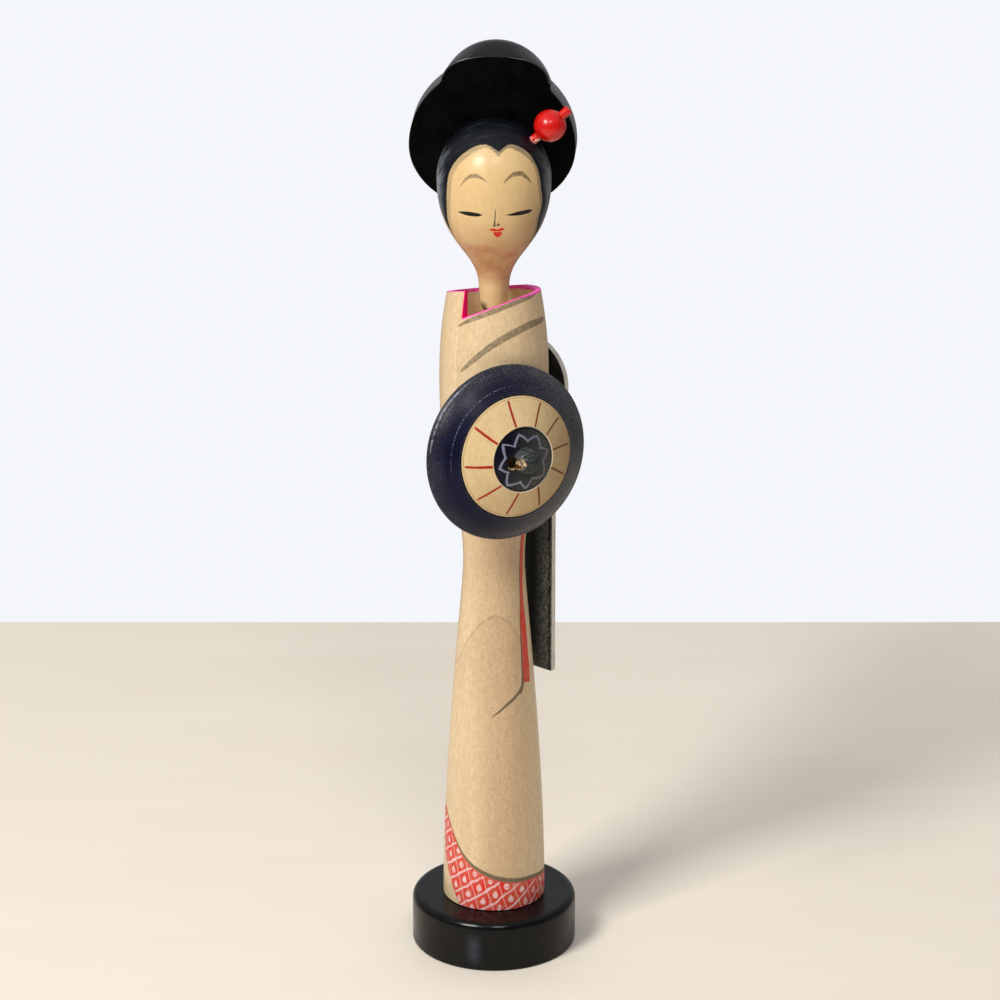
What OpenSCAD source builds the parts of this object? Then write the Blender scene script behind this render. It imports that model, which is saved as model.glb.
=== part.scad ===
// Creative kokeshi: a turned wooden doll in a kimono, with an open umbrella.
// The doll stands on +Z. Its face looks along -Y. The origin is the middle of the base's underside.

/* [Base] */
// Diameter of the round base
base_d = 52.5; // [48:0.5:60]
// Thickness of the base
base_h = 16.5; // [13:0.5:20]
// Rounding of the base's upper edge
base_round = 2.3; // [1:0.1:4]

/* [Body] */
// Radius of the body where it stands on the base
foot_r = 16.3; // [15:0.1:18]
// Radius of the waist
waist_r = 9.7; // [9:0.1:11]
// Height of the waist above the table
waist_z = 132; // [126:1:138]
// Radius at the sleeves, where the body is fullest
sleeve_r = 17; // [16:0.1:18]
// Height of the fullest place above the table
sleeve_z = 194; // [190:1:197]
// Radius of the arc that the shoulders follow above the fullest place
shoulder_arc = 154; // [130:2:200]
// Angle that the kimono's front is turned towards the doll's right hand
body_turn = 39; // [25:1:45]

/* [Collar] */
// Height of the collar's sloping top where it crosses the doll's axis
collar_z = 222.5; // [219:0.5:223]
// Slope of the collar's top
collar_slope = 18.5; // [12:0.5:21]
// Turn of that slope from the kimono's front towards the doll's left hand
collar_slope_turn = 53; // [0:1:60]
// Height of the left shoulder's slope where it crosses the doll's axis
shoulder_z = 220.8; // [219:0.2:222]
// Slope of the collar's top over the left shoulder
shoulder_slope = 11.4; // [8:0.2:15]
// Turn of that slope from the kimono's front towards the doll's left hand
shoulder_slope_turn = 66; // [40:1:80]
// Height of the bottom of the neckline's V
lapel_z = 216.8; // [214:0.2:218]
// Slope of the lapel that rises from the V towards the doll's left shoulder
lapel_slope = 26.9; // [20:0.1:28]
// Radius of the turned hollow inside the collar
recess_r = 12.8; // [11.5:0.1:13.2]
// Height of that hollow's floor
recess_z = 207; // [203:1:210]

/* [Head] */
// Largest radius of the head
head_r = 17.6; // [16:0.1:19]
// Height of the head's widest place above the table
head_z = 258; // [255:0.5:261]
// Height of the crown above the widest place
crown_h = 18.5; // [16:0.1:20]
// Radius of the neck above the collar
neck_r = 4.2; // [3.8:0.1:5]
// Radius of the tenon that turns in the body
tenon_r = 3; // [2.5:0.1:3.5]

/* [Hair] */
// How far the carved hair stands off the axis, towards the doll's left hand
hair_x = -1; // [-1.5:0.25:1.5]
// Half width of the side hair
wings_r = 25.6; // [23:0.1:27]
// Height of the middle of the side hair
wings_z = 266; // [263:0.5:268]
// Reach of the side hair below its middle
wings_drop = 20.5; // [18:0.5:22]
// Thickness of the side hair
wings_t = 10; // [8:0.5:12]
// Distance of the hair's flat front behind the doll's axis
hair_y = 6; // [5:0.5:8]
// Angle that the hair is turned towards the doll's right
hair_turn = 3.8; // [0:0.2:8]
// Half width of the topknot
bun_r = 17.4; // [16:0.1:18.5]
// Height of the topknot's middle
bun_z = 280; // [278:0.5:282]
// Height of the topknot above its middle
bun_h = 18; // [16:0.1:19]

/* [Hairpin] */
// Diameter of the bead
bead_d = 9.9; // [8:0.1:11]
// Radius of the pin
pin_r = 1.45; // [1.2:0.05:1.6]
// Slope of the pin above the horizontal
pin_slope = 42; // [35:1:48]
// Depth of the pin's hole in the head
pin_depth = 9; // [8:0.5:10]

/* [Umbrella] */
// Radius of the umbrella's rim
rim_r = 27.5; // [25:0.1:28]
// Radius of the outside of the plain wood ring
ring_r = 19; // [17:0.1:20]
// Height of the wood ring's outside over the rim
ring_h = 6.6; // [5:0.1:7.5]
// Radius of the dark hub
hub_r = 10; // [9:0.1:11]
// Height of the hub over the rim
hub_h = 11.2; // [10:0.1:12]
// Height of the tip of the handle over the rim
tip_h = 17.5; // [17:0.1:19]
// Angle that the umbrella points to the doll's left of straight ahead
umbrella_turn = 29; // [26:0.5:32]
// Angle that the umbrella points upwards
umbrella_tilt = 6.8; // [5:0.2:8]
// Radius of the handle's dowel
handle_r = 1.75; // [1.5:0.05:2]
// Depth of the handle's socket in the body
socket_depth = 13; // [10:0.5:14]

/* [Obi] */
// Half width of the round-topped knot
knot_r = 14.4; // [12:0.1:16]
// Height of the centre of the knot's round top
knot_z = 187.7; // [184:0.5:190]
// Half width of the hanging end
tail_w = 9.6; // [8:0.1:11]
// Height of the hanging end's lower edge
tail_z = 90; // [80:1:100]
// Thickness of the board
obi_t = 2.1; // [1.5:0.1:3]

/* [Hidden] */
$fn = 96;

// Colours of the finishes
wood = [0.87, 0.76, 0.58];
lacquer = [0.04, 0.04, 0.05];
navy = [0.10, 0.10, 0.22];
red = [0.80, 0.12, 0.08];

// Radial clearance of a fit that turns or slides
run_gap = 0.05;
// Far enough to cut right through any piece
reach = 60;
// Steps along each curved stretch of a turned profile
curve_steps = 22;
// Rounding of the small edges
edge_r = 0.8;

// Dowel between the base and the body
foot_dowel_r = 4;
foot_dowel_up = 15;
foot_dowel_down = 11;

// Neck: its foot is bevelled down to the tenon inside the collar
neck_foot_z = 217.2;
neck_bevel_z = 214.8;
neck_top_r = 4.7;
neck_top_z = 223;
tenon_depth = 16;
tenon_end_z = recess_z - tenon_depth;

// Handles of the curves in the body's and the head's profiles
foot_pull = 50;
waist_pull_down = 10;
waist_pull_up = 24;
sleeve_pull = 40;
neck_pull = 12.5;
cheek_pull = 20.7;

// Pegs of the hair, along the depth of the head
peg_r = 1.5;
peg_zs = [252, 264];
peg_front_y = -1;
peg_back_y = hair_y + wings_t - 2;
bun_peg_low = 284;
bun_peg_high = 294;

// Topknot: its flat front outline is a flattened arch, and a dome swells behind it
bun_x = hair_x + 1;
bun_depth = 9;
bun_back = 7;
bun_front_z = 285.4;
bun_front_w = 16.6;
bun_front_h = 9.6;
bun_power = 2.4;

// Hairpin: the place where it enters the head, and the bead's distance from there
pin_entry = [12, -3, 271.2];
bead_out = 6.7;
pin_out = 14.6;

// Umbrella: the middle of its rim
umbrella_mid = [3.6, -23.5, 177.4];
rim_half_t = 1;
knob_r = 4.1;
knob_foot_h = 12.4;
knob_shoulder_h = 15.7;
knob_cap_r = 2.4;
knob_top_h = tip_h - 0.5;
back_dish = 2.5;
// Side hole for a lost peg in the knob
side_hole_r = 1.8;
side_hole_x = -4.3;
side_hole_depth = 7.5;
// The handle starts to run inside the body this far behind the rim
socket_start = 8;

// Neckline: how far behind the axis its wedge runs
wedge_y = 4;

// Obi: the board is held by two pegs through its knot
obi_gap = 0.2;
obi_y = sleeve_r + obi_gap;
obi_peg_zs = [180, 192];
obi_peg_in = 9;
waist_of_obi_z = 166;
tail_start_z = 152;

function bezier(p, t) =
    pow(1 - t, 3) * p[0] + 3 * pow(1 - t, 2) * t * p[1] + 3 * (1 - t) * t * t * p[2] + pow(t, 3) * p[3];

function curve(p, steps = curve_steps) = [for (i = [0:steps]) bezier(p, i / steps)];

function arc(x, z, r, from, to, steps = 8) =
    [for (i = [0:steps]) let (a = from + (to - from) * i / steps) [x + r * cos(a), z + r * sin(a)]];

// Radius of the shoulders at a height above the fullest place
function shoulder_r(z) = sleeve_r - shoulder_arc + sqrt(pow(shoulder_arc, 2) - pow(z - sleeve_z, 2));

function body_profile() = concat(
    [[0, base_h], [foot_r - 0.3, base_h]],
    curve([[foot_r, base_h + 0.3], [foot_r, base_h + foot_pull], [waist_r, waist_z - waist_pull_down],
        [waist_r, waist_z]]),
    curve([[waist_r, waist_z], [waist_r, waist_z + waist_pull_up], [sleeve_r, sleeve_z - sleeve_pull],
        [sleeve_r, sleeve_z]]),
    [for (i = [1:14]) let (z = sleeve_z + i * 2.7) [shoulder_r(z), z]],
    [[0, sleeve_z + 14 * 2.7]]
);

function head_profile() = concat(
    [[0, tenon_end_z], [tenon_r - 0.5, tenon_end_z], [tenon_r, tenon_end_z + 0.5],
        [tenon_r, neck_bevel_z], [neck_r, neck_foot_z]],
    curve([[neck_top_r, neck_top_z], [neck_top_r, neck_top_z + neck_pull], [head_r, head_z - cheek_pull],
        [head_r, head_z]]),
    [for (i = [1:curve_steps]) let (a = 90 * i / curve_steps) [head_r * cos(a), head_z + crown_h * sin(a)]]
);

// Side hair: a round upper half, and a flatter lower half that tucks in to the neck
function wings_outline() = [
    for (i = [0:119]) let (a = 3 * i)
        [hair_x + wings_r * cos(a), wings_z + (a < 180 ? wings_r : wings_drop) * sin(a)]
];

function bun_outline() = [
    for (i = [0:40]) let (a = 180 * i / 40)
        [bun_x + bun_front_w * sign(cos(a)) * pow(abs(cos(a)), 2 / bun_power),
            bun_front_z + bun_front_h * pow(sin(a), 2 / bun_power)]
];

// Stands an outline up, facing -Y, from one distance behind the axis to another
module upright(from_y, to_y) {
    translate([0, to_y, 0]) rotate([90, 0, 0]) linear_extrude(to_y - from_y) children();
}

module turned_with_body() { rotate([0, 0, -body_turn]) children(); }

module turned_with_hair() { rotate([0, 0, -hair_turn]) children(); }

// Puts a piece on the hairpin's axis: +Z leaves the head, 0 is the head's surface
module on_hairpin() { translate(pin_entry) rotate([0, 90 - pin_slope, 0]) children(); }

// Puts a piece on the umbrella's axis: +Z points out of the tip, 0 is the rim
module on_umbrella() {
    translate(umbrella_mid) rotate([0, 0, umbrella_turn]) rotate([90 - umbrella_tilt, 0, 0]) children();
}

module base() {
    r = base_d / 2;
    color(lacquer) difference() {
        rotate_extrude() polygon(concat(
            [[0, 0]],
            arc(r - edge_r, edge_r, edge_r, -90, 0),
            arc(r - base_round, base_h - base_round, base_round, 0, 90),
            [[0, base_h]]
        ));
        translate([0, 0, base_h - foot_dowel_down]) cylinder(r = foot_dowel_r, h = reach);
    }
}

module foot_dowel() {
    color(wood) translate([0, 0, base_h - foot_dowel_down + 0.2])
        cylinder(r = foot_dowel_r, h = foot_dowel_down + foot_dowel_up - 0.4);
}

// Everything above a slope: its height on the axis, its angle, and the way it is turned
module above_slope(z, slope, turn) {
    translate([0, 0, z]) rotate([0, 0, turn]) rotate([-slope, 0, 0])
        translate([-reach, -reach, 0]) cube([2 * reach, 2 * reach, reach]);
}

module above_collar() { above_slope(collar_z, collar_slope, collar_slope_turn); }

// The collar's left half is cut lower, so that the lapel runs round the shoulder in one sweep
module above_shoulder() {
    intersection() {
        above_slope(shoulder_z, shoulder_slope, shoulder_slope_turn);
        translate([0, -reach, lapel_z]) cube([reach, 2 * reach, reach]);
    }
}

// The wedge cut out of the neckline: upright at the front, and sloping up to the left shoulder,
// where it runs into the collar's top
module neckline_wedge() {
    rise = reach * tan(lapel_slope);
    upright(-reach, wedge_y)
        polygon([[0, lapel_z], [reach, lapel_z + rise], [reach, lapel_z + 2 * reach], [0, lapel_z + 2 * reach]]);
}

module body() {
    color(wood) difference() {
        rotate_extrude() polygon(body_profile());
        turned_with_body() {
            above_collar();
            above_shoulder();
            neckline_wedge();
            for (z = obi_peg_zs)
                translate([0, obi_peg_in, z]) rotate([-90, 0, 0]) cylinder(r = peg_r, h = reach);
        }
        translate([0, 0, recess_z]) cylinder(r = recess_r, h = reach);
        translate([0, 0, tenon_end_z - 1]) cylinder(r = tenon_r + run_gap, h = reach);
        translate([0, 0, base_h - 1]) cylinder(r = foot_dowel_r, h = foot_dowel_up + 1);
        on_umbrella() translate([0, 0, -socket_start - socket_depth])
            cylinder(r = handle_r + run_gap, h = socket_depth + socket_start);
    }
}

module obi_outline() {
    polygon(concat(
        [[tail_w, tail_z]],
        curve([[tail_w, tail_start_z], [tail_w, tail_start_z + 7], [knot_r, waist_of_obi_z - 7],
            [knot_r, waist_of_obi_z]], 10),
        arc(0, knot_z, knot_r, 0, 180, 48),
        curve([[-knot_r, waist_of_obi_z], [-knot_r, waist_of_obi_z - 7], [-tail_w, tail_start_z + 7],
            [-tail_w, tail_start_z]], 10),
        [[-tail_w, tail_z]]
    ));
}

module obi_board() {
    color(lacquer) turned_with_body() difference() {
        upright(obi_y, obi_y + obi_t) obi_outline();
        for (z = obi_peg_zs)
            translate([0, obi_y - 1, z]) rotate([-90, 0, 0]) cylinder(r = peg_r, h = obi_t + 2);
    }
}

module obi_pegs() {
    color(lacquer) turned_with_body() for (z = obi_peg_zs)
        translate([0, obi_peg_in + 0.3, z]) rotate([-90, 0, 0])
            cylinder(r = peg_r, h = obi_y + obi_t - obi_peg_in - 0.3);
}

module hair_peg_set(front_y, back_y) {
    for (z = peg_zs)
        translate([0, front_y, z]) rotate([-90, 0, 0]) cylinder(r = peg_r, h = back_y - front_y);
}

module head() {
    color(wood) difference() {
        rotate_extrude() polygon(head_profile());
        turned_with_hair() {
            upright(hair_y, reach) polygon(wings_outline());
            hair_peg_set(peg_front_y - 0.3, hair_y + 1);
        }
        on_hairpin() translate([0, 0, -pin_depth]) cylinder(r = pin_r + run_gap, h = pin_depth + reach);
    }
}

module hair_wings() {
    color(lacquer) turned_with_hair() difference() {
        upright(hair_y, hair_y + wings_t) polygon(wings_outline());
        hair_peg_set(hair_y - 1, peg_back_y + 0.3);
        translate([0, hair_y + wings_t / 2, bun_peg_low]) cylinder(r = peg_r, h = reach);
    }
}

module hair_bun() {
    color(lacquer) turned_with_hair() difference() {
        hull() {
            upright(hair_y, hair_y + 0.6) polygon(bun_outline());
            translate([bun_x, hair_y + bun_back, bun_z]) scale([bun_r, bun_depth, bun_h]) sphere(r = 1, $fn = 56);
        }
        translate([-reach, hair_y - reach, 0]) cube([2 * reach, reach, 6 * reach]);
        upright(hair_y - 1, hair_y + wings_t) polygon(wings_outline());
        translate([0, hair_y + wings_t / 2, bun_peg_low]) cylinder(r = peg_r + run_gap, h = bun_peg_high + 0.3 - bun_peg_low);
    }
}

module hair_pegs() {
    color(wood) turned_with_hair() hair_peg_set(peg_front_y, peg_back_y);
}

module bun_peg() {
    color(wood) turned_with_hair() translate([0, hair_y + wings_t / 2, bun_peg_low + 0.3])
        cylinder(r = peg_r, h = bun_peg_high - bun_peg_low - 0.3);
}

module hairpin_stick() {
    color(red) on_hairpin() translate([0, 0, 0.5 - pin_depth]) rotate_extrude() polygon([
        [0, 0], [pin_r - 0.3, 0], [pin_r, 0.3],
        [pin_r, pin_out + pin_depth - 0.9], [pin_r - 0.4, pin_out + pin_depth - 0.5], [0, pin_out + pin_depth - 0.5]
    ]);
}

module hairpin_bead() {
    color(red) on_hairpin() translate([0, 0, bead_out]) difference() {
        sphere(d = bead_d);
        translate([0, 0, -bead_d]) cylinder(r = pin_r, h = 2 * bead_d);
    }
}

module umbrella_canopy() {
    color(navy) on_umbrella() difference() {
        rotate_extrude() polygon(concat(
            [[0, back_dish - rim_half_t], [rim_r - 2.5, -rim_half_t]],
            arc(rim_r - rim_half_t, 0, rim_half_t, -90, 48),
            curve([[rim_r - 1.2, 1.35], [24.6, 3.2], [21.8, 5], [ring_r + 0.5, ring_h - 0.2]], 8),
            [[ring_r + 0.2, ring_h - 0.5], [ring_r, ring_h - 0.1]],
            curve([[ring_r - 0.3, ring_h], [16, 8.2], [13, 9.7], [hub_r + 0.4, hub_h - 0.1]], 8),
            [[hub_r + 0.1, hub_h - 0.5], [hub_r - 0.1, hub_h - 0.1]],
            curve([[hub_r - 0.5, hub_h], [8, 11.9], [5.5, 12.3], [knob_r, knob_foot_h]], 8),
            curve([[knob_r, knob_foot_h + 0.2], [knob_r, knob_shoulder_h - 1.2], [knob_cap_r + 1, knob_shoulder_h],
                [knob_cap_r + 0.1, knob_shoulder_h]], 10),
            [[knob_cap_r, knob_shoulder_h + 0.1], [knob_cap_r, knob_top_h - 0.3], [knob_cap_r - 0.3, knob_top_h],
                [0, knob_top_h]]
        ));
        translate([0, 0, -reach]) cylinder(r = handle_r, h = 2 * reach);
        translate([side_hole_x, 0, tip_h - side_hole_depth]) cylinder(r = side_hole_r, h = side_hole_depth + 1);
    }
}

module umbrella_handle() {
    length = tip_h + socket_start + socket_depth - 0.5;
    color(navy) on_umbrella() translate([0, 0, tip_h - length]) rotate_extrude() polygon([
        [0, 0], [handle_r - 0.4, 0], [handle_r, 0.4],
        [handle_r, length - 0.3], [handle_r - 0.3, length], [0, length]
    ]);
}

base();
foot_dowel();
body();
obi_board();
obi_pegs();
head();
hair_wings();
hair_bun();
hair_pegs();
bun_peg();
hairpin_stick();
hairpin_bead();
umbrella_canopy();
umbrella_handle();
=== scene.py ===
import math

import bmesh
import bpy
from mathutils import Matrix, Vector


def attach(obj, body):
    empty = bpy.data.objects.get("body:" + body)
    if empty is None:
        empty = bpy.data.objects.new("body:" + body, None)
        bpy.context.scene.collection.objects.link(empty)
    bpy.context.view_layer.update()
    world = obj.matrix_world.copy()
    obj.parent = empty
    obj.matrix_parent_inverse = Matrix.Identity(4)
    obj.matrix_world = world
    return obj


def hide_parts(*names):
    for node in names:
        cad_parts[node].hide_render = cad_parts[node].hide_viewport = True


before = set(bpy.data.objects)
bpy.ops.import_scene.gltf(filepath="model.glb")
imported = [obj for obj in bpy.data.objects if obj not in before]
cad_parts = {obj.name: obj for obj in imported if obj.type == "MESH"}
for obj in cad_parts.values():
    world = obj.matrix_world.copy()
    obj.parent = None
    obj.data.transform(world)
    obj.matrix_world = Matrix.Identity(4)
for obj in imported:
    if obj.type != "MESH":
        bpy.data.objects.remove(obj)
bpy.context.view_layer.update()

# A turned kokeshi in a kimono with an umbrella. Lengths are in metres, except where a
# paint plan works in millimetres: MM turns one into the other.
MM = 0.001

# How far the pieces are turned and where the umbrella sits, as the carpentry has them
BODY_TURN = math.radians(-39)
HAIR_TURN = math.radians(-3.8)
UMBRELLA_MID = (3.6 * MM, -23.5 * MM, 177.4 * MM)
UMBRELLA_TURN = math.radians(29)
UMBRELLA_TILT = math.radians(6.8)

# Carved hair: the side hair's disc and the topknot's flattened arch and dome
HAIR_X = -1 * MM
WINGS_MID_Z = 266 * MM
WINGS_R = 25.6 * MM
WINGS_DROP = 20.5 * MM
HAIR_FRONT = 6 * MM
WINGS_T = 10 * MM
BUN_MID = Vector((0, 13, 280)) * MM
BUN_SIZE = Vector((17.4, 9, 17.97)) * MM
BUN_FRONT = (16.6 * MM, 9.6 * MM, 285.4 * MM)
BUN_POWER = 2.4
SWEEP_Z = 262


# Mixing paint: small helpers that add and join shader nodes

def paint(red, green, blue):
    """A colour as it looks on the shelf, 0 to 255 a channel, made linear."""
    def linear(channel):
        share = channel / 255
        return share / 12.92 if share <= 0.04045 else ((share + 0.055) / 1.055) ** 2.4
    return (linear(red), linear(green), linear(blue), 1)


class Nodes:
    """Adds and joins the nodes of one material or one shared group."""

    def __init__(self, tree):
        self.tree = tree

    def add(self, kind, **settings):
        node = self.tree.nodes.new("ShaderNode" + kind)
        for name, value in settings.items():
            setattr(node, name, value)
        return node

    def feed(self, socket, value):
        if isinstance(value, bpy.types.NodeSocket):
            self.tree.links.new(value, socket)
        elif value is not None:
            socket.default_value = value

    def math(self, operation, a, b=None, c=None, clamp=False):
        node = self.add("Math", operation=operation, use_clamp=clamp)
        for socket, value in zip(node.inputs, (a, b, c)):
            self.feed(socket, value)
        return node.outputs[0]

    def plus(self, total, *others):
        for other in others:
            total = self.math("ADD", total, other)
        return total

    def minus(self, a, b):
        return self.math("SUBTRACT", a, b)

    def times(self, a, b):
        return self.math("MULTIPLY", a, b)

    def weigh(self, *parts):
        """Sum of values, each with its share."""
        return self.plus(*[self.times(value, share) for value, share in parts])

    def size(self, value):
        return self.math("ABSOLUTE", value)

    def away(self, a, b):
        """How far a is from b."""
        return self.size(self.minus(a, b))

    def over(self, value, limit):
        """1 where value is above the limit, else 0."""
        return self.math("GREATER_THAN", value, limit)

    def under(self, value, limit):
        return self.math("LESS_THAN", value, limit)

    def both(self, *masks):
        result = masks[0]
        for mask in masks[1:]:
            result = self.math("MULTIPLY", result, mask, clamp=True)
        return result

    def either(self, *masks):
        result = masks[0]
        for mask in masks[1:]:
            result = self.math("MAXIMUM", result, mask, clamp=True)
        return result

    def ramp(self, value, low, high, to_low=0, to_high=1, soft=False):
        node = self.add("MapRange", clamp=True)
        node.interpolation_type = "SMOOTHSTEP" if soft else "LINEAR"
        for name, setting in (("Value", value), ("From Min", low), ("From Max", high),
                              ("To Min", to_low), ("To Max", to_high)):
            self.feed(node.inputs[name], setting)
        return node.outputs["Result"]

    def edge(self, value, limit, soft):
        """1 where value is past the limit, changing over a soft edge."""
        return self.ramp(self.minus(value, limit), -soft, soft)

    def mix(self, factor, a, b):
        """Mixes two colours; three plain numbers are a paint."""
        node = self.add("Mix", data_type="RGBA")
        for socket, value in ((node.inputs[0], factor), (node.inputs[6], a), (node.inputs[7], b)):
            is_paint = isinstance(value, tuple) and len(value) == 3
            self.feed(socket, paint(*value) if is_paint else value)
        return node.outputs[2]

    def blend(self, factor, a, b):
        """Mixes two plain values."""
        node = self.add("Mix", data_type="FLOAT")
        for socket, value in zip(node.inputs[:1] + node.inputs[2:4], (factor, a, b)):
            self.feed(socket, value)
        return node.outputs[0]

    def noise(self, vector, scale, detail=2, roughness=0.5, distortion=0):
        node = self.add("TexNoise")
        for name, value in (("Vector", vector), ("Scale", scale), ("Detail", detail),
                            ("Roughness", roughness), ("Distortion", distortion)):
            self.feed(node.inputs[name], value)
        return node.outputs["Fac"]

    def patches(self, vector, scale, low, high, *fineness):
        """Noise turned into soft patches: 0 where it is under low, 1 where it is over high."""
        return self.ramp(self.noise(vector, scale, *fineness), low, high)

    def split(self, vector):
        node = self.add("SeparateXYZ")
        self.feed(node.inputs[0], vector)
        return node.outputs

    def join(self, x, y, z):
        node = self.add("CombineXYZ")
        for socket, value in zip(node.inputs, (x, y, z)):
            self.feed(socket, value)
        return node.outputs[0]

    def stretch(self, vector, scale):
        """Squeezes a pattern's coordinates along each axis."""
        node = self.add("VectorMath", operation="MULTIPLY")
        self.feed(node.inputs[0], vector)
        node.inputs[1].default_value = scale
        return node.outputs[0]

    def radius(self, x, y):
        return self.math("SQRT", self.plus(self.times(x, x), self.times(y, y)))

    def degrees(self, x, y):
        """Angle from the y axis towards the x axis."""
        return self.math("DEGREES", self.math("ARCTAN2", x, y))

    def curve(self, value, points, corners=()):
        """A drawn curve: value runs along the points' first numbers, their second come out."""
        first, last = points[0][0], points[-1][0]
        low = min(y for _, y in points)
        high = max(y for _, y in points)
        span = max(high - low, 1e-6)
        node = self.add("FloatCurve")
        line = node.mapping.curves[0]
        spots = [((x - first) / (last - first), (y - low) / span) for x, y in points]
        line.points[0].location = spots[0]
        line.points[1].location = spots[-1]
        for spot in spots[1:-1]:
            line.points.new(*spot)
        for number, point in enumerate(line.points):
            point.handle_type = "VECTOR" if number in corners else "AUTO_CLAMPED"
        node.mapping.update()
        self.feed(node.inputs["Value"], self.ramp(value, first, last))
        return self.math("MULTIPLY_ADD", node.outputs[0], span, low)

    def stroke(self, along, across, centre, half, soft, ragged=None):
        """Mask of one brush stroke. centre and half are drawn curves of its middle line and half width."""
        away = self.away(across, self.curve(along, centre))
        if ragged is not None:
            away = self.plus(away, ragged)
        inside = self.minus(self.curve(along, half), away)
        return self.ramp(inside, -soft / 2, soft / 2, soft=True)

    def use(self, group, **inputs):
        node = self.add("Group")
        node.node_tree = group
        for name, value in inputs.items():
            self.feed(node.inputs[name.replace("_", " ")], value)
        return node.outputs


def shared_group(name, inputs, outputs):
    """An empty shader node group with named sockets."""
    tree = bpy.data.node_groups.new(name, "ShaderNodeTree")
    for label, kind, default in inputs:
        socket = tree.interface.new_socket(label, in_out="INPUT", socket_type="NodeSocket" + kind)
        if default is not None:
            socket.default_value = default
    for label, kind in outputs:
        tree.interface.new_socket(label, in_out="OUTPUT", socket_type="NodeSocket" + kind)
    nodes = Nodes(tree)
    entry = tree.nodes.new("NodeGroupInput")
    leave = tree.nodes.new("NodeGroupOutput")
    return tree, nodes, entry.outputs, leave.inputs


def wood_group():
    """Pale turned wood: late-wood lines, long fibre, small flecks."""
    tree, n, given, out = shared_group(
        "Turned wood",
        [("Vector", "Vector", None), ("Rings", "Float", 0), ("Ring Step", "Float", 20),
         ("Ring Strength", "Float", 0.5), ("Fibre", "Float", 1), ("Pale", "Color", paint(232, 208, 164)),
         ("Brown", "Color", paint(178, 132, 84))],
        [("Color", "Color"), ("Roughness", "Float"), ("Height", "Float")],
    )
    vector = given["Vector"]
    wander = n.noise(n.stretch(vector, (0.1, 0.1, 0.03)), 1, 3)
    rings = n.plus(n.math("DIVIDE", given["Rings"], given["Ring Step"]), n.times(wander, 0.12))
    share = n.math("FRACT", rings)
    line = n.both(n.ramp(share, 0.955, 0.985, soft=True), n.ramp(share, 1, 0.992, soft=True))
    broken = n.patches(n.stretch(vector, (0.9, 0.9, 0.5)), 1, 0.36, 0.6, 3, 0.6)
    line = n.times(line, n.plus(n.times(broken, 0.75), 0.25))
    tone = n.ramp(share, 0, 0.75, 1, 0)
    band = n.patches(n.stretch(vector, (0.22, 0.22, 0.008)), 1, 0.3, 0.72, 3, 0.55)
    fibre = n.noise(n.stretch(vector, (2.6, 2.6, 0.09)), 1, 3, 0.6)
    fleck = n.noise(n.stretch(vector, (5.5, 5.5, 1.1)), 1, 2, 0.55)
    mottle = n.noise(n.stretch(vector, (0.8, 0.8, 0.45)), 1, 4, 0.65)
    rings_dark = n.times(given["Ring Strength"], n.weigh((line, 0.85), (tone, 0.24)))
    long_dark = n.weigh((band, 0.12), (n.ramp(fibre, 0.48, 0.72), 0.09))
    short_dark = n.weigh((n.ramp(fleck, 0.5, 0.68), 0.13), (n.ramp(mottle, 0.38, 0.66), 0.16))
    dark = n.plus(rings_dark, n.times(n.plus(long_dark, short_dark), given["Fibre"]))
    n.feed(out["Color"], n.mix(dark, given["Pale"], given["Brown"]))
    n.feed(out["Roughness"], n.ramp(n.weigh((fibre, 0.6), (fleck, 0.4)), 0.3, 0.7, 0.36, 0.52))
    n.feed(out["Height"], n.minus(n.times(fibre, -0.6), n.times(fleck, 0.4)))
    return tree


def dry_brush_group():
    """Thins a painted mask the way a nearly dry brush does: streaks along one way, soft pooling."""
    tree, n, given, out = shared_group(
        "Dry brush",
        [("Vector", "Vector", None), ("Mask", "Float", 1), ("Dryness", "Float", 0.4)],
        [("Mask", "Float"), ("Streak", "Float")],
    )
    streak = n.noise(given["Vector"], 1, 4, 0.62)
    patch = n.noise(n.stretch(given["Vector"], (0.3, 0.3, 0.3)), 1, 2)
    cover = n.weigh((streak, 0.7), (patch, 0.3))
    gap = n.times(n.ramp(cover, 0.62, 0.38), given["Dryness"])
    n.feed(out["Mask"], n.times(given["Mask"], n.math("SUBTRACT", 1, gap, clamp=True)))
    n.feed(out["Streak"], cover)
    return tree


def wear_group():
    """Rubbed edges, fine scratches and settled dust on a lacquered or painted piece."""
    tree, n, given, out = shared_group(
        "Wear and dust",
        [("Vector", "Vector", None), ("Edge Width", "Float", 0.35 * MM), ("Dust", "Float", 0.3)],
        [("Edge", "Float"), ("Dust", "Float"), ("Scratches", "Float"), ("Smudge", "Float")],
    )
    bevel = n.add("Bevel", samples=6)
    n.feed(bevel.inputs["Radius"], given["Edge Width"])
    surface = n.add("NewGeometry")
    bend = n.add("VectorMath", operation="DOT_PRODUCT")
    n.feed(bend.inputs[0], bevel.outputs[0])
    n.feed(bend.inputs[1], surface.outputs["Normal"])
    vector = given["Vector"]
    chipped = n.patches(vector, 1.1, 0.4, 0.62, 4, 0.65)
    edge = n.both(n.ramp(bend.outputs["Value"], 0.985, 0.86), chipped)
    n.feed(out["Edge"], edge)
    specks = n.patches(vector, 4.2, 0.6, 0.72, 2, 0.5)
    drift = n.patches(vector, 0.22, 0.35, 0.7, 3)
    n.feed(out["Dust"], n.both(n.times(n.plus(n.times(specks, 0.7), 0.3), given["Dust"]),
            n.plus(drift, 0.35)))
    turned = n.join(n.split(vector)[0], n.times(n.split(vector)[1], 0.12), n.split(vector)[2])
    scratch = n.noise(turned, 2.4, 2, 0.5, 0.6)
    n.feed(out["Scratches"], n.ramp(n.away(scratch, 0.5), 0.006, 0))
    n.feed(out["Smudge"], n.noise(vector, 0.16, 4, 0.6, 0.8))
    return tree


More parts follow.
